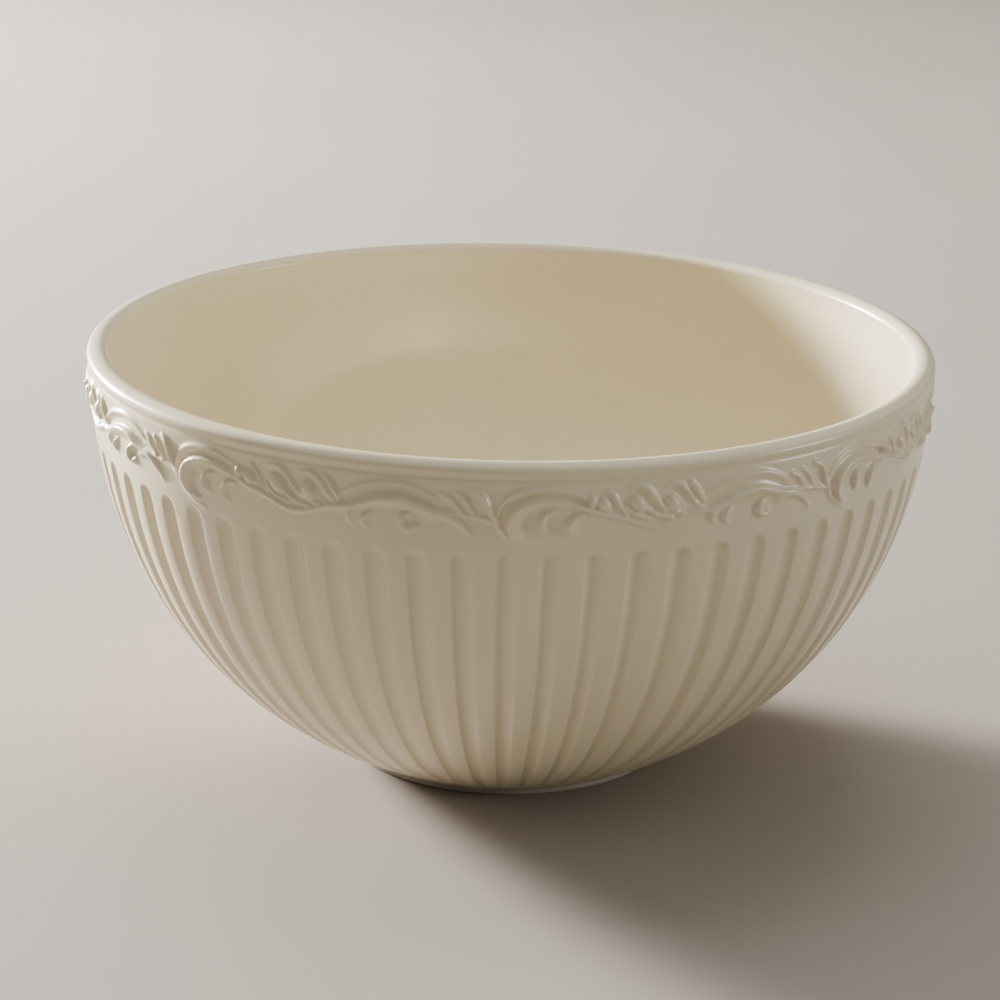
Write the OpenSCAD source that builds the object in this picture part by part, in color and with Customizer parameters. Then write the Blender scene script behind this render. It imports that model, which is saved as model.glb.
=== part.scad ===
// Porcelain serving bowl: a fluted round wall under a band of raised scrolls, on a low foot ring.
// Millimetres, +Z up. The origin is the centre of the foot's resting plane.

/* [Bowl] */
// Outer diameter of the lip
lip_d = 250; // [249:0.5:252]
// Height from the resting plane to the top of the lip
height = 126; // [125:0.5:128]
// Radius of the round belly
belly_r = 124; // [123:0.5:124]
// Distance from the top of the lip down to the belly's centre
belly_drop = 10.3; // [9.5:0.1:11]
// Thickness of the wall
wall_t = 5.6; // [4.5:0.1:6]
// Thickness of the rolled lip
lip_t = 6.4; // [6:0.1:7]
// Height of the well's floor above the resting plane
floor_h = 9; // [8:0.5:12]
// Radius of the curve between the floor and the wall
well_r = 40; // [30:1:45]

/* [Foot] */
// Height of the foot ring
foot_h = 3; // [2.5:0.1:4]
// Outer diameter of the foot ring
foot_d = 101; // [98:1:102]
// Width of the foot ring
foot_w = 8; // [6:0.5:10]
// Radius of the foot's two lower edges
foot_edge_r = 1.2; // [0.8:0.1:1.4]

/* [Flutes] */
// Number of grooves round the wall, with a flat land between each two
flutes = 66; // [60:1:66]
// Radius of the groove's section
groove_r = 3.6; // [3:0.1:3.8]
// Depth of a groove at its upper end
groove_top_depth = 1.2; // [0.9:0.1:1.3]
// Depth of a groove at its lower end
groove_foot_depth = 0.4; // [0.3:0.1:0.5]
// Distance from the top of the lip down to the grooves' upper ends
groove_top_drop = 28.5; // [27.5:0.5:30]
// Height of the grooves' lower ends above the resting plane
groove_foot_h = 7; // [6.5:0.5:9]
// Turn of the first groove about the bowl's axis, in degrees
groove_start = 5.3; // [0:0.1:5.4]

/* [Frieze] */
// Number of repeats of the frieze
repeats = 8; // [6:1:8]
// Turn of the first repeat about the bowl's axis, in degrees
frieze_start = -0.3; // [-5:0.1:5]
// Height that the heavy strokes stand off the band
relief_h = 1.5; // [1:0.1:1.5]
// Distance from the top of the lip down to the frieze's lower edge
frieze_drop = 22.5; // [22:0.5:24]

/* [Hidden] */

glaze = [0.84, 0.81, 0.75];
bare_clay = [0.87, 0.84, 0.78];
big_fn = 144;
band_fn = 1080;
small_fn = 48;

lip_r = lip_d / 2;
belly_z = height - belly_drop;
cavity_r = belly_r - wall_t;
// The band runs straight from the belly up to the lip.
band_z0 = height - frieze_drop;
band_z1 = height - lip_t / 2;
band_r0 = sqrt(pow(belly_r, 2) - pow(belly_z - band_z0, 2));
band_r1 = lip_r - 0.35;
band_flare = atan((band_r1 - band_r0) / (band_z1 - band_z0));
// The lip is a round roll whose outside is the widest part of the bare bowl.
lip_ring_r = lip_r - lip_t / 2;
// Angles below level at which a groove starts and ends, seen from the belly's centre.
groove_top_a = asin((belly_z - height + groove_top_drop) / belly_r);
groove_foot_a = asin((belly_z - groove_foot_h) / belly_r);
// The groove's path is lowered by this much, so that the groove is shallower towards the foot.
groove_fade = (groove_top_depth - groove_foot_depth) / (sin(groove_foot_a) - sin(groove_top_a));
groove_path_r = belly_r + groove_r - groove_top_depth - groove_fade * sin(groove_top_a);
// The balls at the ends are a little wider than the groove.
groove_end_extra = 0.12;
// The knobs at the ends of a stroke are a little wider than the stroke.
knob_extra = 0.3;
// Centre of the curve that joins the well's floor to the wall.
well_z = floor_h + well_r;
well_x = sqrt(pow(cavity_r - well_r, 2) - pow(belly_z - well_z, 2));

function band_r(z) = band_r0 + (z - band_z0) * tan(band_flare);
// Points of an arc about (x, z), from angle a to angle b, every few degrees.
function arc(x, z, r, a, b, step = 6) =
    let (n = ceil(abs(b - a) / step))
    [for (i = [0:n]) let (t = a + (b - a) * i / n) [x + r * cos(t), z + r * sin(t)]];

// Half section of the hollow inside the bowl, open above the lip.
module cavity_section() {
    meet = atan2(well_z - belly_z, well_x);
    mouth_r = lip_ring_r - lip_t / 2 + 0.2;
    polygon(concat(
        [[0, floor_h]],
        arc(well_x, well_z, well_r, -90, meet),
        arc(0, belly_z, cavity_r, meet, 0),
        [[mouth_r, band_z1], [mouth_r, height + 1], [0, height + 1]]
    ));
}

// Places its children once for each groove, in the upright plane of the groove's path.
module at_grooves() {
    for (i = [0:flutes - 1])
        rotate([0, 0, groove_start + i * 360 / flutes])
            translate([0, 0, belly_z - groove_fade]) rotate([90, 0, -90]) children();
}

// The round cutter of one groove, swept down the belly.
module groove_run() {
    rotate([0, 0, -groove_foot_a])
        rotate_extrude(angle = groove_foot_a - groove_top_a, $fn = big_fn)
            translate([groove_path_r, 0]) circle(r = groove_r, $fn = small_fn);
}

// The ball that rounds one end of a groove.
module groove_end(a) {
    rotate([0, 0, -a])
        translate([groove_path_r, 0, 0]) sphere(r = groove_r + groove_end_extra, $fn = small_fn);
}

module bowl_body() {
    color(glaze)
        difference() {
            union() {
                intersection() {
                    translate([0, 0, belly_z]) sphere(r = belly_r, $fn = big_fn);
                    translate([0, 0, foot_h]) cylinder(r = lip_r, h = band_z0 - foot_h, $fn = big_fn);
                }
                translate([0, 0, band_z0])
                    cylinder(r1 = band_r0, r2 = band_r1, h = band_z1 - band_z0, $fn = band_fn);
                rotate_extrude($fn = big_fn)
                    translate([lip_ring_r, band_z1]) circle(d = lip_t, $fn = small_fn * 2);
            }
            rotate_extrude($fn = big_fn) cavity_section();
            at_grooves() groove_run();
            at_grooves() groove_end(groove_top_a);
            at_grooves() groove_end(groove_foot_a);
        }
}

module foot_ring() {
    outer = foot_d / 2;
    inner = outer - foot_w;
    color(bare_clay)
        rotate_extrude($fn = big_fn)
            polygon(concat(
                arc(inner + foot_edge_r, foot_edge_r, foot_edge_r, 180, 270, 15),
                arc(outer - foot_edge_r, foot_edge_r, foot_edge_r, 270, 360, 15),
                [[outer, foot_h], [inner, foot_h]]
            ));
}

// Seats its children on the band, turn degrees along a repeat and drop below the top of the lip.
// There x runs along the band, y up it and z out from it, and what lies under the band's surface
// is cut off. Every repeat gets a copy.
module on_band(turn, drop) {
    for (i = [0:repeats - 1])
        rotate([0, 0, frieze_start + turn + i * 360 / repeats])
            difference() {
                translate([0, -band_r(height - drop), height - drop])
                    rotate([90 + band_flare, 0, 0]) children();
                band_solid();
            }
}

// The solid inside the band's surface.
module band_solid() {
    translate([0, 0, band_z0 - 5])
        cylinder(r1 = band_r(band_z0 - 5), r2 = band_r1, h = band_z1 - band_z0 + 5, $fn = band_fn);
}

// A round stroke along an arc of the given radius, from angle a to angle b, with a knob at each end.
module stroke(radius, a, b, w) {
    sink = w / 2 - relief_h * w / 3.2;
    translate([0, 0, -sink]) {
        rotate([0, 0, a])
            rotate_extrude(angle = b - a, $fn = big_fn)
                translate([radius, 0]) circle(d = w, $fn = small_fn);
        for (t = [a, b])
            rotate([0, 0, t]) translate([radius, 0, 0]) sphere(d = w + knob_extra, $fn = small_fn);
    }
}

// A pointed leaf with a domed top, its long way turned by tilt from upright.
module leaf(length, w, tilt) {
    side_r = (pow(length, 2) + pow(w, 2)) / (4 * w);
    dome_r = (pow(length, 2) / 4 + pow(relief_h, 2)) / (2 * relief_h);
    rotate([0, 0, tilt])
        intersection() {
            translate([side_r - w / 2, 0, -2]) cylinder(r = side_r, h = 6, $fn = big_fn);
            translate([w / 2 - side_r, 0, -2]) cylinder(r = side_r, h = 6, $fn = big_fn);
            translate([0, 0, relief_h - dome_r]) sphere(r = dome_r, $fn = big_fn);
        }
}

module scroll_crests() {
    color(glaze) on_band(4.7, 16.4) stroke(9.6, 24, 216, 3);
}

module scroll_curls() {
    color(glaze) {
        on_band(6, 16.6) stroke(5, 130, 222, 2);
        on_band(8.9, 17) stroke(4.6, 120, 222, 2);
    }
}

module leaf_sprays() {
    color(glaze) {
        on_band(13.1, 9.6) leaf(7, 2.8, 22);
        on_band(15.6, 10) leaf(8, 3.2, 28);
        on_band(18.5, 10.6) leaf(9, 3.6, 34);
        on_band(21.5, 10.4) leaf(8, 3.2, 30);
        on_band(24.2, 9) leaf(6.8, 2.6, 16);
    }
}

module spray_stems() {
    color(glaze) on_band(18.6, 9) stroke(9.8, 214, 318, 2);
}

module wave_arches() {
    color(glaze) on_band(31.2, 18) stroke(10.4, 32, 150, 3);
}

module wave_curls() {
    color(glaze) {
        on_band(28.2, 16.6) stroke(3.2, 120, 215, 2);
        on_band(33.2, 16) stroke(3.6, 120, 215, 2.2);
        on_band(37.4, 19.6) stroke(5, 24, 110, 2);
    }
}

module tall_leaves() {
    color(glaze) {
        on_band(37.9, 9.4) leaf(6, 2.6, 24);
        on_band(41.3, 11.6) leaf(10, 3, 12);
    }
}

module beads() {
    color(glaze) on_band(10.6, 9) translate([0, 0, -0.2]) sphere(r = 1.4, $fn = small_fn);
}

bowl_body();
foot_ring();
scroll_crests();
scroll_curls();
leaf_sprays();
spray_stems();
wave_arches();
wave_curls();
tall_leaves();
beads();
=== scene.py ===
import math

import bpy
import numpy as np
from mathutils import Matrix, Vector


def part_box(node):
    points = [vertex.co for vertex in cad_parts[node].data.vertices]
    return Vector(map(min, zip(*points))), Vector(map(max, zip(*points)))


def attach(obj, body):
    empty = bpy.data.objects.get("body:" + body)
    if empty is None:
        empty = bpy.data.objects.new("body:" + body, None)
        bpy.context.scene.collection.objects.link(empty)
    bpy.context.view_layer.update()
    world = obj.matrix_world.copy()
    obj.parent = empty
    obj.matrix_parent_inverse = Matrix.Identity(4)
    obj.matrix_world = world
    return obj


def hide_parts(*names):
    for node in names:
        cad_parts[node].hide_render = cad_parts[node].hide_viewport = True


# A glazed serving bowl: a fluted round wall under a band of raised scrolls, on a low foot ring.
# The bowl is one closed skin, turned about Z: every ring of it is a circle whose radius varies
# with the flutes and with the moulded frieze. The bowl's sizes are millimetres, and MM turns them
# into metres where a ring is made. The stage, the lights and the camera are in metres.

MM = 0.001

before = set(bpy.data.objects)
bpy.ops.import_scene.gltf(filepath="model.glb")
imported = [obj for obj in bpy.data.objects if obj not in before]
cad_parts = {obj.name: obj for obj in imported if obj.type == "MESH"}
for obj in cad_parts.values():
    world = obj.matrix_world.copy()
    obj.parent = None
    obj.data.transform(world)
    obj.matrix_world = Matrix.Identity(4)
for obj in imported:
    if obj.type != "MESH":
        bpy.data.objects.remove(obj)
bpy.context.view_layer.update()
bowl_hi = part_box("bowl_body")[1]
foot_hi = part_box("foot_ring")[1]

# --- Sizes, millimetres -----------------------------------------------------------------------
# A drop is a distance down from the top of the lip.

LIP_TOP = bowl_hi.z / MM
LIP_R = bowl_hi.x / MM

# The foot ring, and the sunk disc inside it.
FOOT_TOP = foot_hi.z / MM
FOOT_R = foot_hi.x / MM
FOOT_W = 8.0
FOOT_INNER_R = FOOT_R - FOOT_W
FOOT_EDGE_R = 1.2
RECESS_H = 1.3

# The round belly, which ends just above the foot ring.
BELLY_R = 124.0
BELLY_Z = LIP_TOP - 10.3
BELLY_FOOT_Z = FOOT_TOP + 1.0

# The hollow inside: a flat floor, a rounded well and a round wall.
CAVITY_R = 118.4
FLOOR_Z = 9.0
WELL_R = 40.0

# The rolled lip. Its section is an ellipse, drawn from its inner side over to its crease.
ROLL_HALF_W = 3.2
ROLL_HALF_H = 2.35
ROLL_R = LIP_R - ROLL_HALF_W
ROLL_INNER_ANGLE = math.pi * 1.04
ROLL_CREASE_ANGLE = -0.55

# The plain band under the frieze, with a soft hollow below the lip.
CREASE_DROP = 3.0
HOLLOW_DROP = 4.3
HOLLOW_DEPTH = 0.28
HOLLOW_HALF_H = 0.65
BAND_TOP_R = LIP_R - 0.4
BAND_FOOT_DROP = 22.5
BAND_FOOT_R = math.sqrt(BELLY_R ** 2 - (BELLY_Z - LIP_TOP + BAND_FOOT_DROP) ** 2)

# The flutes. The width and depth are those where half the pitch is FLUTE_HALF_PITCH. Towards
# the foot the width shrinks with the pitch, and the depth by a power of it.
FLUTES = 66
FLUTE_START = math.radians(5.3)
FLUTE_TOP_DROP = 28.2
FLUTE_FOOT_Z = 7.0
FLUTE_HALF_PITCH = 5.8
FLUTE_HALF_W = 2.95
FLUTE_DEPTH = 1.5
FLUTE_DEPTH_POWER = 1.6
# The lands between the flutes are crowned, which fades in over these heights at the two ends.
LAND_CROWN = 0.16
CROWN_FADE_TOP = 7.0
CROWN_FADE_FOOT = 5.0

# The frieze.
REPEATS = 8
FRIEZE_START = math.radians(-0.3)
REPEAT_LENGTH = 98.0
RELIEF_TOP = 5.0
RELIEF_FOOT = 25.0
RELIEF_ROW = 0.4

# Exponents of the round sections: 0.5 is a half ellipse, more is more pointed.
STROKE_POWER = 1.5
DOME_POWER = 0.65
CHANNEL_POWER = 0.85

# Columns of the mesh round the bowl. Each count divides the next.
COLUMNS_COARSE = 264
COLUMNS_MEDIUM = 1056
COLUMNS_FINE = 2112

# --- Looks ------------------------------------------------------------------------------------

# Colours are linear red, green and blue.
WHITE = (1.0, 1.0, 1.0)
GLAZE_THICK = (0.785, 0.685, 0.46)
GLAZE_THIN = (0.82, 0.725, 0.51)
GLAZE_SPECK = (0.93, 0.90, 0.84)
# The two clay tones are partly the bare clay's own colour and partly painted shade: they are kept
# dark for the foot ring, which sits in shade under the bowl.
CLAY_DARK_WITH_SHADE = (0.40, 0.34, 0.27)
CLAY_PALE_WITH_SHADE = (0.48, 0.42, 0.34)
CLAY_GRAIN = (0.82, 0.79, 0.74)
FLOOR_DARK = (0.32, 0.28, 0.24)
FLOOR_PALE = (0.345, 0.305, 0.265)
WALLS_GREY = (0.075, 0.073, 0.07)
CEILING_GREY = (0.60, 0.60, 0.60)
LIGHT_TINT = (1.0, 0.98, 0.95)

# Each soft light, in metres: name, place, width and height, watts, and whether the glaze
# mirrors it.
LIGHTS = [
    ("key", (-1.66, 1.36, 0.50), (0.42, 0.42), 330.0, True),
    ("top", (0.0, 0.45, 1.5), (1.0, 1.0), 12.0, False),
    ("fill", (1.6, -0.3, 0.3), (0.5, 0.35), 7.0, True),
]
FLOOR_HALF = 6.0

# The camera, in metres, and in millimetres for its lens and sensor.
CAMERA_DISTANCE = 0.8183
CAMERA_HEIGHT = 0.3475
CAMERA_PITCH = math.radians(18.42)
CAMERA_ROLL = math.radians(1.08)
CAMERA_SENSOR = 36.0
CAMERA_LENS = 102.6
CAMERA_SHIFT = -0.0086


# --- Small mathematics ------------------------------------------------------------------------

def smooth(t):
    """0 to 1 with level ends."""
    t = np.clip(t, 0.0, 1.0)
    return t * t * (3.0 - 2.0 * t)


def spline(points, per_span=12):
    """A smooth curve through a few points, and how far along the list each sample is."""
    p = np.array(points, float)
    p = np.vstack([2 * p[0] - p[1], p, 2 * p[-1] - p[-2]])
    rows = []
    marks = []
    for i in range(1, len(p) - 2):
        for k in range(per_span):
            t = k / per_span
            a, b, c, d = p[i - 1:i + 3]
            rows.append(0.5 * (2 * b + (c - a) * t + (2 * a - 5 * b + 4 * c - d) * t ** 2
                               + (3 * b - a - 3 * c + d) * t ** 3))
            marks.append(i - 1 + t)
    rows.append(p[-2])
    marks.append(len(points) - 1)
    return np.array(rows), np.array(marks)


def along(values, marks):
    """A few values, given at the curve's points or once for all of it, at every sample."""
    values = np.atleast_1d(np.array(values, float))
    if len(values) == 1:
        return np.full(len(marks), values[0])
    at = np.linspace(0, marks[-1], len(values))
    return np.interp(marks, at, values)


# --- The frieze -------------------------------------------------------------------------------
# One repeat, laid flat: x in millimetres along the band from the big scroll's left edge, and d
# in millimetres below the top of the lip. A stroke is its crest's points, the half width on its
# left and on its right, as seen while following the points, and its height. The last three are
# one value for the whole stroke, or several spread evenly along it.

SCROLL = [
    # thin rim round the outside of the big scroll
    ([(9, 23.8), (5, 22.3), (1.4, 20.3), (-1.0, 17.8), (-1.9, 15), (-1.2, 12), (0.8, 9.4),
      (4, 7.7), (8, 7.0), (12, 7.0), (16.5, 7.9), (21, 9.4)],
     [1.2, 1.4, 1.6], [0.8, 0.55, 0.5], [0.2, 0.7, 0.9, 0.8, 0.8, 0.7, 0.5]),
    # the big scroll: a broad crescent that narrows to its right end
    ([(6.8, 21.6), (4.0, 20.9), (1.8, 19.2), (0.7, 16.6), (1.3, 13.8), (3.4, 11.4), (7, 9.9),
      (11, 9.7), (16, 10.4), (20.5, 11.7), (24.5, 12.9)],
     [0.8, 0.8, 0.6, 0.5, 0.5], [1.2, 3.8, 5.6, 5.2, 3.2, 2.2, 1.6, 1.2],
     [0.6, 1.6, 2.0, 1.9, 1.6, 1.4, 1.1]),
    # two curls inside it
    ([(12.2, 12.9), (10.2, 13.6), (9.1, 15.2), (9.1, 16.8), (10.0, 18.2), (11.4, 19.0)],
     [1.2, 2.0, 2.2, 1.6], [0.6, 0.6, 0.9], [0.9, 1.8, 1.6, 0.3]),
    ([(20.4, 13.8), (18.2, 14.3), (16.7, 15.7), (16.1, 17.4), (16.7, 19.0), (18.2, 20.0)],
     [1.2, 2.2, 2.4, 1.8], [0.6, 0.6, 0.9], [0.9, 1.8, 1.6, 0.3]),
]

STEM = [
    ([(23, 13.3), (28, 14.5), (32, 15.6), (36, 17.2), (39.5, 18.0), (42.5, 17.7), (46, 16.7),
      (50, 15.3), (53.5, 14.6)],
     [0.8], [1.1, 1.2, 1.2], [0.9, 1.0, 1.0]),
]

LEAVES = [
    # each leaf: a hooked rim round the upper right of its dome, and a narrow blade below
    ([(26.6, 7.6), (28.2, 8.6), (29.2, 10.2), (30.2, 12.2), (32.0, 14.2)],
     [0.6], [0.7], [0.6, 1.1, 0.9]),
    ([(31.6, 12.2), (33.4, 13.8), (35.6, 15.0), (38.0, 15.8)], [0.7], [0.8], [0.7, 1.1, 0.7]),
    ([(32.4, 7.2), (34.8, 6.6), (37.2, 7.5), (39.0, 9.6), (40.6, 12.0), (42.4, 14.2)],
     [1.1], [0.7], [0.5, 0.9, 1.2, 1.1, 0.6]),
    ([(36.6, 12.4), (38.6, 14.0), (41.2, 15.4), (44.4, 16.2)], [0.7], [0.7], [0.9, 1.2, 0.7]),
    ([(41.8, 12.2), (43.6, 13.6), (45.8, 14.6), (48.0, 15.2)], [0.7], [0.8], [0.7, 1.0, 0.7]),
    ([(42.3, 7.4), (44.6, 6.7), (46.8, 7.5), (48.6, 9.4), (50.2, 11.8), (52.2, 13.8)],
     [1.0], [0.65], [0.5, 0.9, 1.2, 1.0, 0.6]),
    ([(49.4, 6.8), (51.0, 8.4), (52.2, 10.4), (53.8, 12.8)], [0.9], [1.1], [0.7, 1.4, 0.8]),
]

WAVE = [
    # thin rim over the wave
    ([(53, 12.4), (56.4, 10.2), (60.4, 8.4), (64.4, 7.4), (68.4, 7.0), (72.4, 7.4),
      (76, 8.6), (79.2, 10.2)],
     [1.5], [0.5], [0.5, 0.8, 0.9, 0.8, 0.5]),
    # the wave itself
    ([(51.4, 15.0), (55.4, 14.4), (58.6, 13.2), (61.6, 12.0), (65.4, 11.0), (69.4, 10.7),
      (72.6, 11.2), (75.6, 12.3), (79, 13.3), (83, 13.8)],
     [0.5], [1.6, 2.8, 3.2, 3.0, 1.9], [1.0, 1.5, 1.8, 1.7, 1.1]),
    # two small curls that hang left of it
    ([(57.4, 15.2), (56.1, 16.2), (55.8, 17.6), (56.6, 19.0)], [1.7], [0.6], [0.7, 1.4, 1.1, 0.3]),
    ([(61.6, 15.4), (60.2, 16.8), (59.9, 18.4), (60.8, 19.8)], [1.8], [0.6], [0.7, 1.4, 1.1, 0.3]),
    # the curl under its crown
    ([(72.6, 14.4), (71.0, 15.2), (70.3, 16.8), (70.8, 18.5), (72.4, 19.3), (74.2, 18.6)],
     [2.0, 2.2, 1.6], [0.6], [0.8, 1.6, 1.5, 0.9]),
    # the curl that arches down to the right
    ([(77.4, 15.6), (79.6, 14.8), (82.4, 14.8), (85.0, 15.8), (87.2, 17.6), (89.0, 19.8)],
     [1.0], [1.5, 1.4, 0.9], [0.7, 1.3, 1.3, 0.5]),
]

TALL_LEAVES = [
    ([(81.6, 8.9), (83.4, 9.9), (84.9, 11.5), (86.4, 13.4)], [1.0], [1.3, 1.0], [0.6, 1.1, 0.7]),
    ([(85.8, 8.6), (87.2, 9.7), (88.4, 11.4), (89.8, 13.6)], [0.9], [1.2, 1.0], [0.6, 1.1, 0.7]),
    ([(89.9, 7.4), (92.1, 8.5), (93.4, 10.8), (94.4, 13.4), (96.6, 15.9)],
     [1.1], [1.3, 1.5, 1.0], [0.7, 1.5, 1.5, 0.8]),
    ([(82, 13.9), (86, 14.1), (90, 14.6), (94, 15.4), (97.4, 17.2)], [0.8], [0.9], [0.8]),
]

# The bead and the leaves' domed faces: centre x and d, half length, half width, turn of the long
# way in degrees, height.
DOMES = [
    (22.6, 10.3, 1.7, 1.25, 90, 2.0),
    (25.9, 11.3, 2.2, 1.7, 50, 1.7),
    (35.0, 11.6, 3.0, 1.9, 52, 1.6),
    (44.6, 11.9, 2.7, 1.8, 52, 1.6),
]

# Sunk lines beside the rims: points, half width, depth.
GUTTERS = [
    ([(-0.9, 17), (-0.6, 13.4), (1.2, 10.7), (4.6, 8.9), (8.6, 8.4), (12.8, 8.5),
      (17, 9.2), (21.6, 10.5)], 0.6, 0.3),
    ([(54.2, 13.4), (57, 11.8), (60.4, 10.2), (64.4, 9.0), (68.4, 8.7), (72.4, 9.1),
      (75.6, 10.2), (78.6, 11.6)], 0.7, 0.35),
    ([(26.9, 9.2), (28.2, 11.2), (30.0, 13.4)], 0.5, 0.3),
    ([(34.3, 8.4), (36.2, 9.4), (37.8, 11.4), (39.8, 13.6)], 0.55, 0.35),
    ([(44.2, 8.4), (45.8, 9.3), (47.4, 11.2), (49.2, 13.2)], 0.5, 0.35),
]


def nearest(points, grid_x, grid_d):
    """For each grid point: distance to the curve and its side, then the curve's nearest sample."""
    line, marks = spline(points)
    gap_x = grid_x[..., None] - line[:, 0]
    gap_d = grid_d[..., None] - line[:, 1]
    # The frieze repeats, so the shorter way round counts.
    gap_x = gap_x - REPEAT_LENGTH * np.round(gap_x / REPEAT_LENGTH)
    far = np.hypot(gap_x, gap_d)
    pick = far.argmin(-1)
    distance = np.take_along_axis(far, pick[..., None], -1)[..., 0]
    heading = np.gradient(line, axis=0)
    nx = np.take_along_axis(gap_x, pick[..., None], -1)[..., 0]
    nd = np.take_along_axis(gap_d, pick[..., None], -1)[..., 0]
    side = heading[pick, 0] * nd - heading[pick, 1] * nx
    return distance, side, marks, pick


def ridge(stroke, grid_x, grid_d):
    """One stroke's height over the grid."""
    points, left, right, height = stroke
    distance, side, marks, pick = nearest(points, grid_x, grid_d)
    # d grows downward, so a positive side is on the right of the heading.
    width = np.where(side > 0, along(right, marks)[pick], along(left, marks)[pick])
    t = np.clip(distance / width, 0.0, 1.0)
    return along(height, marks)[pick] * (1.0 - t * t) ** STROKE_POWER


def dome(form, grid_x, grid_d):
    """One round form's height over the grid."""
    x, d, half_long, half_short, tilt, height = form
    turn = math.radians(tilt)
    gap_x = grid_x - x
    gap_d = grid_d - d
    u = (gap_x * math.cos(turn) + gap_d * math.sin(turn)) / half_long
    v = (gap_d * math.cos(turn) - gap_x * math.sin(turn)) / half_short
    return height * np.clip(1.0 - u * u - v * v, 0.0, 1.0) ** DOME_POWER


def soft_max(layers, sharpness=5.0):
    """The highest of the layers, with a soft valley where two of them meet."""
    total = np.zeros_like(layers[0])
    for layer in layers:
        total += np.exp(sharpness * layer) - 1.0
    return np.log1p(total) / sharpness


def blurred(field, cell_x, cell_d, sigma=0.22):
    """The glaze rounds every edge. The field is closed on itself along x."""
    reach = int(3 * sigma / min(cell_x, cell_d)) + 1
    steps = np.arange(-reach, reach + 1)
    across = np.exp(-0.5 * (steps * cell_x / sigma) ** 2)
    down = np.exp(-0.5 * (steps * cell_d / sigma) ** 2)
    out = sum(w * np.roll(field, k, 1) for k, w in zip(steps, across / across.sum()))
    padded = np.pad(out, ((reach, reach), (0, 0)), mode="edge")
    rows = len(field)
    return sum(w * padded[reach + k:reach + k + rows] for k, w in zip(steps, down / down.sum()))


def frieze_field(drops):
    """Heights in millimetres of one repeat of the frieze on the given rows."""
    count = COLUMNS_FINE // REPEATS
    x = np.arange(count) * REPEAT_LENGTH / count
    grid_x, grid_d = np.meshgrid(x, drops)
    layers = [ridge(s, grid_x, grid_d) for s in SCROLL + STEM + LEAVES + WAVE + TALL_LEAVES]
    layers += [dome(form, grid_x, grid_d) for form in DOMES]
    field = soft_max(layers)
    for points, half_w, depth in GUTTERS:
        distance = nearest(points, grid_x, grid_d)[0]
        cut = np.clip(1.0 - (distance / half_w) ** 2, 0.0, 1.0)
        # A gutter takes away most of the relief that it crosses, and then its own depth.
        field = field * (1.0 - 0.85 * cut) - depth * cut
    return blurred(field, x[1] - x[0], drops[1] - drops[0])


# --- The wall ---------------------------------------------------------------------------------

def band_radius(drop):
    """The plain band under the frieze, with the soft hollow below the lip."""
    t = (drop - CREASE_DROP) / (BAND_FOOT_DROP - CREASE_DROP)
    hollow = HOLLOW_DEPTH * np.exp(-((drop - HOLLOW_DROP) / HOLLOW_HALF_H) ** 2)
    return BAND_TOP_R + (BAND_FOOT_R - BAND_TOP_R) * t - hollow


def belly_radius(z):
    """The round wall's bare radius at a height."""
    return np.sqrt(BELLY_R ** 2 - (BELLY_Z - z) ** 2)


def flute_depth(angle, z, radius):
    """How far the wall is sunk: hollow channels with round ends, between gently rounded lands."""
    pitch = 2 * math.pi / FLUTES
    turn = (angle - FLUTE_START + pitch / 2) % pitch - pitch / 2
    across = np.abs(turn) * radius
    half = pitch * radius / 2
    below_top = LIP_TOP - FLUTE_TOP_DROP - z
    above_foot = z - FLUTE_FOOT_Z
    size = half / FLUTE_HALF_PITCH
    half_w = FLUTE_HALF_W * size
    past_end = max(0.0, -below_top, -above_foot)
    reach = np.hypot(across, past_end) / half_w
    section = np.clip(1.0 - reach ** 2, 0.0, 1.0) ** CHANNEL_POWER
    channel = FLUTE_DEPTH * size ** FLUTE_DEPTH_POWER * section
    land = np.clip((across - half_w) / (half - half_w), 0.0, 1.0)
    fade = smooth(below_top / CROWN_FADE_TOP + 0.25) * smooth(above_foot / CROWN_FADE_FOOT)
    return channel + LAND_CROWN * size * fade * (1.0 - land) ** 2


def ring_angles(columns):
    """The columns' angles about Z, from the camera's side towards +X."""
    return np.arange(columns) * 2 * math.pi / columns


def ring(radius, z, columns):
    """One circle of the skin; radius is one number or one for each column."""
    angle = ring_angles(columns)
    radius = np.broadcast_to(radius, angle.shape)
    height = np.full(columns, float(z))
    return np.stack([radius * np.sin(angle), -radius * np.cos(angle), height], 1) * MM


def inside_rings():
    """From the middle of the well's floor up the inner wall."""
    well_z = FLOOR_Z + WELL_R
    well_x = math.sqrt((CAVITY_R - WELL_R) ** 2 - (BELLY_Z - well_z) ** 2)
    meet = math.atan2(well_z - BELLY_Z, well_x)
    rings = [ring(r, FLOOR_Z, COLUMNS_COARSE) for r in (4, 12, 20, 28, 36)]
    for a in np.linspace(-math.pi / 2, meet, 14)[:-1]:
        radius = well_x + WELL_R * math.cos(a)
        rings.append(ring(radius, well_z + WELL_R * math.sin(a), COLUMNS_COARSE))
    for a in np.linspace(meet, 0.0, 22):
        radius = CAVITY_R * math.cos(a)
        rings.append(ring(radius, BELLY_Z + CAVITY_R * math.sin(a), COLUMNS_COARSE))
    return rings


def lip_rings():
    """Over the rolled lip, from the inner wall's upper end to the crease under its outer side."""
    roll_z = LIP_TOP - ROLL_HALF_H
    rings = [ring(ROLL_R - ROLL_HALF_W - 0.1, roll_z - 3.6, COLUMNS_COARSE)]
    for a in np.linspace(ROLL_INNER_ANGLE, ROLL_CREASE_ANGLE, 30):
        radius = ROLL_R + ROLL_HALF_W * math.cos(a)
        # The mesh becomes finer just past the top of the roll.
        columns = COLUMNS_COARSE if a > 1.2 else COLUMNS_MEDIUM
        rings.append(ring(radius, roll_z + ROLL_HALF_H * math.sin(a), columns))
    return rings


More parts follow.
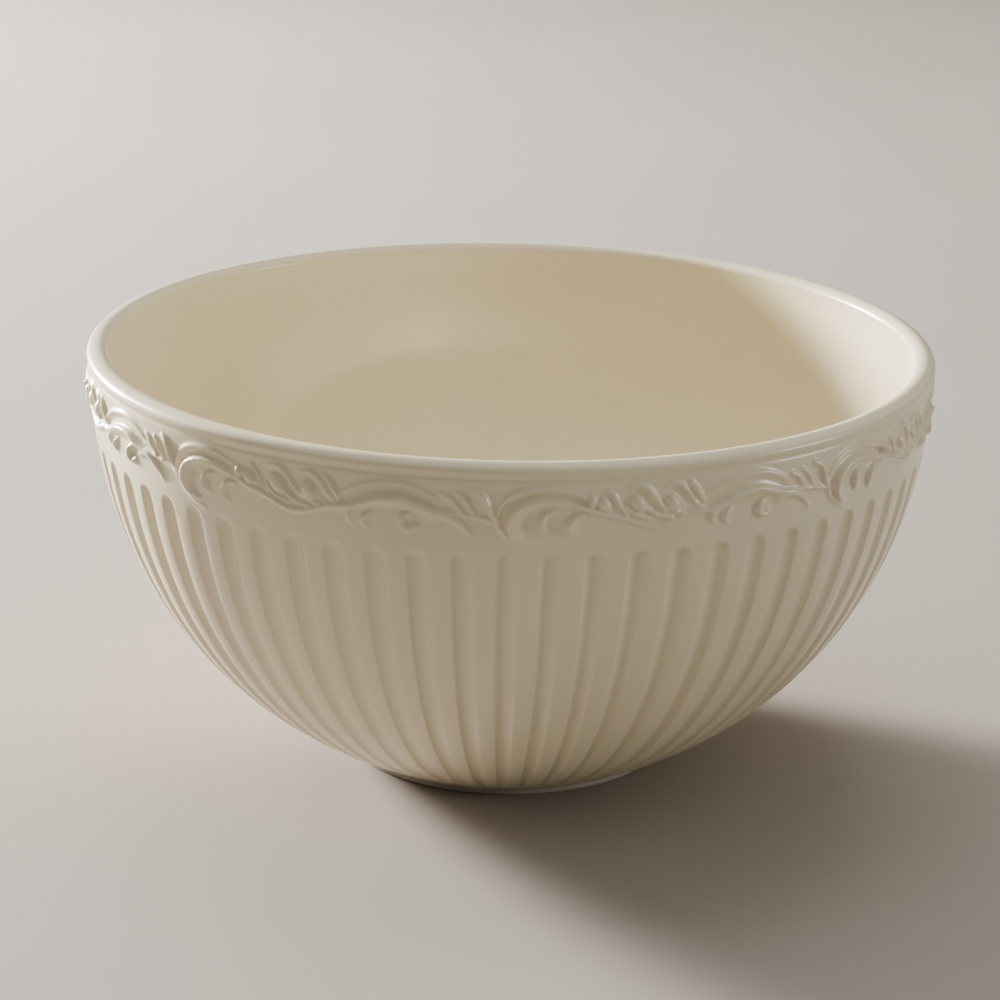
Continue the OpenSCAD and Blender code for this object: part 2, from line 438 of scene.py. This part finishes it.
def collar_rings():
    """The soft hollow below the lip, down to where the frieze starts."""
    drops = (3.75, 3.9, 4.1, 4.3, 4.5, RELIEF_TOP - 0.25)
    return [ring(band_radius(drop), LIP_TOP - drop, COLUMNS_MEDIUM) for drop in drops]


def frieze_rings():
    """The band with its frieze, and the flutes' upper ends where they reach under it."""
    drops = np.arange(RELIEF_TOP, RELIEF_FOOT + RELIEF_ROW / 2, RELIEF_ROW)
    field = np.tile(frieze_field(drops), (1, REPEATS))
    turn = int(round(FRIEZE_START / (2 * math.pi) * COLUMNS_FINE))
    field = np.roll(field, turn, 1)
    angle = ring_angles(COLUMNS_FINE)
    rings = []
    for drop, heights in zip(drops, field):
        z = LIP_TOP - drop
        base = band_radius(drop) if drop < BAND_FOOT_DROP else belly_radius(z)
        rings.append(ring(base + heights - flute_depth(angle, z, base), z, COLUMNS_FINE))
    return rings


def flute_rings():
    """The fluted wall from under the frieze to the foot."""
    angle = ring_angles(COLUMNS_FINE)
    start = math.asin((BELLY_Z - LIP_TOP + RELIEF_FOOT + 0.6) / BELLY_R)
    stop = math.asin((BELLY_Z - BELLY_FOOT_Z) / BELLY_R)
    # Rows are closer together at the flutes' upper and lower ends.
    shares = np.concatenate([
        np.linspace(0, 0.06, 10),
        np.linspace(0.08, 0.92, 32),
        np.linspace(0.93, 1.0, 12),
    ])
    rings = []
    for a in start + (stop - start) * shares:
        z = BELLY_Z - BELLY_R * math.sin(a)
        base = BELLY_R * math.cos(a)
        # The wall leans, so a depth measured square to it is shared between r and z.
        depth = flute_depth(angle, z, base)
        radius = base - depth * math.cos(a)
        points = ring(radius, z, COLUMNS_FINE)
        points[:, 2] += depth * math.sin(a) * MM
        rings.append(points)
    return rings


def underside_rings():
    """From the wall's lower edge in over the foot ring, and the sunk disc inside it."""
    edge_r = belly_radius(BELLY_FOOT_Z)
    rings = [
        ring(edge_r - 0.7, FOOT_TOP + 0.35, COLUMNS_MEDIUM),
        ring(edge_r - 1.6, FOOT_TOP + 0.05, COLUMNS_MEDIUM),
    ]
    # Radius, and height above the foot ring's top.
    outline = [
        (FOOT_R - 1.5, 0.0),
        (FOOT_INNER_R + 1.0, 0.0),
        (FOOT_INNER_R - 0.5, 0.1),
        (FOOT_INNER_R - 2.0, 0.5),
        (FOOT_INNER_R - 6.0, 0.9),
        (25.0, 1.2),
        (12.0, RECESS_H),
        (4.0, RECESS_H),
    ]
    return rings + [ring(r, FOOT_TOP + h, COLUMNS_COARSE) for r, h in outline]


# --- Meshes -----------------------------------------------------------------------------------

def bridge(first, a, second, b):
    """Faces between two rings that start at these vertex numbers and hold a and b points."""
    if a == b:
        i = np.arange(a)
        j = (i + 1) % a
        return [np.stack([first + i, first + j, second + j, second + i], 1).tolist()]
    if a > b:
        flipped = bridge(second, b, first, a)
        return [[face[::-1] for face in group] for group in flipped]
    ratio = b // a
    fans = []
    for i in range(a):
        here = first + i
        after = first + (i + 1) % a
        middle = ratio // 2
        for k in range(ratio):
            fine = second + i * ratio + k
            fine_next = second + (i * ratio + k + 1) % b
            corner = here if k < middle else after
            fans.append([corner, fine_next, fine])
            if k == middle - 1:
                fans.append([here, after, fine_next])
    return [fans]


def new_object(name, points, faces, smooth_faces=True):
    """An object in the scene, made from points and faces."""
    mesh = bpy.data.meshes.new(name)
    mesh.from_pydata(points, [], faces)
    mesh.validate()
    mesh.polygons.foreach_set("use_smooth", [smooth_faces] * len(mesh.polygons))
    made = bpy.data.objects.new(name, mesh)
    bpy.context.scene.collection.objects.link(made)
    return made


def skin(name, rings, first_middle, last_middle):
    """A closed piece from rings of points, with a middle point past the first and the last."""
    sizes = [len(r) for r in rings]
    starts = np.concatenate([[0], np.cumsum(sizes)]).astype(int)
    points = np.vstack(rings + [np.array([first_middle, last_middle]) * MM])
    faces = []
    for i in range(len(rings) - 1):
        for group in bridge(int(starts[i]), sizes[i], int(starts[i + 1]), sizes[i + 1]):
            faces += group
    first_pole = int(starts[-1])
    last = int(starts[-2])
    for i in range(sizes[0]):
        faces.append([first_pole, (i + 1) % sizes[0], i])
    for i in range(sizes[-1]):
        faces.append([first_pole + 1, last + i, last + (i + 1) % sizes[-1]])
    return new_object(name, points.tolist(), faces)


def face_outwards(piece):
    """Turns a closed mesh's faces outwards: the volume that they enclose has to be positive."""
    mesh = piece.data
    mesh.calc_loop_triangles()
    corners = np.empty(len(mesh.loop_triangles) * 3, int)
    mesh.loop_triangles.foreach_get("vertices", corners)
    co = np.empty(len(mesh.vertices) * 3)
    mesh.vertices.foreach_get("co", co)
    a, b, c = co.reshape(-1, 3)[corners.reshape(-1, 3)].transpose(1, 0, 2)
    if np.einsum("ij,ij->i", a, np.cross(b, c)).sum() < 0:
        mesh.flip_normals()


def make_bowl():
    """The glazed skin: inside, lip, band, fluted wall and underside."""
    rings = (inside_rings() + lip_rings() + collar_rings() + frieze_rings() + flute_rings()
             + underside_rings())
    bowl = skin("glazed_bowl", rings, (0, 0, FLOOR_Z), (0, 0, FOOT_TOP + RECESS_H))
    face_outwards(bowl)
    return bowl


def foot_edge_point(middle_r, a):
    """A point of one of the foot's two rounded lower edges."""
    return (middle_r + FOOT_EDGE_R * math.cos(a), FOOT_EDGE_R + FOOT_EDGE_R * math.sin(a))


def make_foot():
    """The bare ring that the bowl stands on, with soft edges."""
    foot_middle = FOOT_R - FOOT_W / 2
    outline = [(FOOT_INNER_R, FOOT_TOP + 0.2), (FOOT_INNER_R, FOOT_TOP - 0.6)]
    for a in np.linspace(math.pi, 1.5 * math.pi, 7):
        outline.append(foot_edge_point(FOOT_INNER_R + FOOT_EDGE_R, a))
    outline.append((foot_middle, 0.0))
    for a in np.linspace(1.5 * math.pi, 2 * math.pi, 7):
        outline.append(foot_edge_point(FOOT_R - FOOT_EDGE_R, a))
    outline += [(FOOT_R, FOOT_TOP - 0.6), (FOOT_R, FOOT_TOP + 0.2)]
    rings = [ring(r, z, COLUMNS_COARSE) for r, z in outline]
    i = np.arange(COLUMNS_COARSE)
    j = (i + 1) % COLUMNS_COARSE
    faces = []
    for k in range(len(rings)):
        a = k * COLUMNS_COARSE
        b = (k + 1) % len(rings) * COLUMNS_COARSE
        faces += np.stack([a + i, a + j, b + j, b + i], 1).tolist()
    foot = new_object("foot_ring_bare", np.vstack(rings).tolist(), faces)
    face_outwards(foot)
    return foot


# --- Materials --------------------------------------------------------------------------------

def new_material(name):
    """A material with its node tree, its shader node and a place to read coordinates from."""
    material = bpy.data.materials.new(name)
    material.use_nodes = True
    tree = material.node_tree
    place = tree.nodes.new("ShaderNodeTexCoord")
    return material, tree, tree.nodes["Principled BSDF"], place


def set_inputs(node, values):
    """Sets a node's sockets by name."""
    for socket, value in values.items():
        node.inputs[socket].default_value = value


def noise(tree, place, scale, detail=3.0):
    """The grey value of noise that is fixed to the object."""
    node = tree.nodes.new("ShaderNodeTexNoise")
    set_inputs(node, {"Scale": scale, "Detail": detail})
    tree.links.new(place.outputs["Object"], node.inputs["Vector"])
    return node.outputs["Fac"]


def ramp(tree, source, low, high):
    """The colour that goes from one stop to the other; a stop is a position and a colour."""
    node = tree.nodes.new("ShaderNodeValToRGB")
    for stop, (at, colour) in zip(node.color_ramp.elements, (low, high)):
        stop.position = at
        stop.color = (*colour, 1.0)
    tree.links.new(source, node.inputs["Fac"])
    return node.outputs["Color"]


def product(tree, one, other):
    """One colour times another."""
    node = tree.nodes.new("ShaderNodeMix")
    node.data_type = "RGBA"
    node.blend_type = "MULTIPLY"
    # The colour sockets go by number, because the node has sockets of the same names twice.
    share, first, second, result = 0, 6, 7, 2
    node.inputs[share].default_value = 1.0
    tree.links.new(one, node.inputs[first])
    tree.links.new(other, node.inputs[second])
    return node.outputs[result]


def add_bump(tree, shader, height, strength, distance):
    """Roughens the shader's normal by a grey value; the distance is in metres."""
    node = tree.nodes.new("ShaderNodeBump")
    set_inputs(node, {"Strength": strength, "Distance": distance})
    tree.links.new(height, node.inputs["Height"])
    tree.links.new(node.outputs["Normal"], shader.inputs["Normal"])


def glaze_material():
    """Cream glaze, yellower where it is thicker, with faint specks and a faint waviness."""
    material, tree, shader, place = new_material("cream_glaze")
    patches = ramp(tree, noise(tree, place, 9.0), (0.3, GLAZE_THICK), (0.7, GLAZE_THIN))
    specks = ramp(tree, noise(tree, place, 900.0, 2.0), (0.25, GLAZE_SPECK), (0.34, WHITE))
    tree.links.new(product(tree, patches, specks), shader.inputs["Base Color"])
    rough = tree.nodes.new("ShaderNodeMapRange")
    set_inputs(rough, {"From Min": 0.3, "From Max": 0.7, "To Min": 0.28, "To Max": 0.36})
    tree.links.new(noise(tree, place, 35.0), rough.inputs["Value"])
    tree.links.new(rough.outputs["Result"], shader.inputs["Roughness"])
    add_bump(tree, shader, noise(tree, place, 60.0, 2.0), 0.25, 0.0002)
    set_inputs(shader, {"IOR": 1.47, "Coat Weight": 0.4, "Coat Roughness": 0.11})
    return material


def clay_and_shade_material():
    """Bare fired clay, its tone kept dark as painted shade for the foot under the bowl: matt, with
    a fine grain and a few darker grains.
    """
    material, tree, shader, place = new_material("bare_clay")
    # Painted shade: the clay's tone is kept dark for the foot's place in shade under the bowl.
    tone = ramp(tree, noise(tree, place, 40.0), (0.3, CLAY_DARK_WITH_SHADE), (0.7, CLAY_PALE_WITH_SHADE))
    grains = noise(tree, place, 1500.0, 4.0)
    dots = ramp(tree, grains, (0.3, CLAY_GRAIN), (0.45, WHITE))
    tree.links.new(product(tree, tone, dots), shader.inputs["Base Color"])
    add_bump(tree, shader, grains, 0.5, 0.0001)
    set_inputs(shader, {"Roughness": 0.75})
    return material


def floor_material():
    """Plain matt paper of an almost even tone."""
    material, tree, shader, place = new_material("floor_paper")
    tone = ramp(tree, noise(tree, place, 3.0), (0.3, FLOOR_DARK), (0.7, FLOOR_PALE))
    tree.links.new(tone, shader.inputs["Base Color"])
    set_inputs(shader, {"Roughness": 0.85})
    return material


# --- Stage ------------------------------------------------------------------------------------

def make_floor():
    """A plain floor that reaches out of view."""
    half = FLOOR_HALF
    corners = [(-half, -half, 0), (half, -half, 0), (half, half, 0), (-half, half, 0)]
    floor = new_object("floor", corners, [(0, 1, 2, 3)], smooth_faces=False)
    floor.data.materials.append(floor_material())


def soft_light(name, at, aim, size, watts, mirrored):
    """An area light; one that is not mirrored leaves no bright patch in the glaze."""
    data = bpy.data.lights.new(name, "AREA")
    data.shape = "RECTANGLE"
    data.size, data.size_y = size
    data.energy = watts
    data.color = LIGHT_TINT
    lamp = bpy.data.objects.new(name, data)
    lamp.location = at
    lamp.rotation_euler = (Vector(aim) - Vector(at)).to_track_quat("-Z", "Y").to_euler()
    lamp.visible_glossy = mirrored
    bpy.context.scene.collection.objects.link(lamp)


def make_lights():
    """Every light points at the bowl's middle, a little below the lip."""
    middle = (0.0, 0.0, bowl_hi.z * 0.8)
    for name, at, size, watts, mirrored in LIGHTS:
        soft_light(name, at, middle, size, watts, mirrored)


def make_world():
    """A studio whose ceiling is brighter than its walls."""
    world = bpy.data.worlds.new("studio")
    world.use_nodes = True
    tree = world.node_tree
    place = tree.nodes.new("ShaderNodeTexCoord")
    parts = tree.nodes.new("ShaderNodeSeparateXYZ")
    tree.links.new(place.outputs["Generated"], parts.inputs["Vector"])
    sky = ramp(tree, parts.outputs["Z"], (0.1, WALLS_GREY), (1.0, CEILING_GREY))
    tree.links.new(sky, tree.nodes["Background"].inputs["Color"])
    bpy.context.scene.world = world


def make_camera():
    """The photograph's view: from the -Y side and above the lip, looking down a little."""
    data = bpy.data.cameras.new("camera")
    data.sensor_width = CAMERA_SENSOR
    data.lens = CAMERA_LENS
    data.shift_x = CAMERA_SHIFT
    camera = bpy.data.objects.new("camera", data)
    bpy.context.scene.collection.objects.link(camera)
    down = Matrix.Rotation(math.pi / 2 - CAMERA_PITCH, 4, "X")
    roll = Matrix.Rotation(CAMERA_ROLL, 4, "Z")
    at = Matrix.Translation((0.0, -CAMERA_DISTANCE, CAMERA_HEIGHT))
    camera.matrix_world = at @ (down @ roll)
    bpy.context.scene.camera = camera


# --- The part ---------------------------------------------------------------------------------

bowl = make_bowl()
bowl.data.materials.append(glaze_material())
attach(bowl, "root")
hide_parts("bowl_body", "scroll_crests", "scroll_curls", "leaf_sprays", "spray_stems",
            "wave_arches", "wave_curls", "tall_leaves", "beads")

foot = make_foot()
foot.data.materials.append(clay_and_shade_material())
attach(foot, "root")
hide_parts("foot_ring")

make_floor()
make_lights()
make_world()
make_camera()
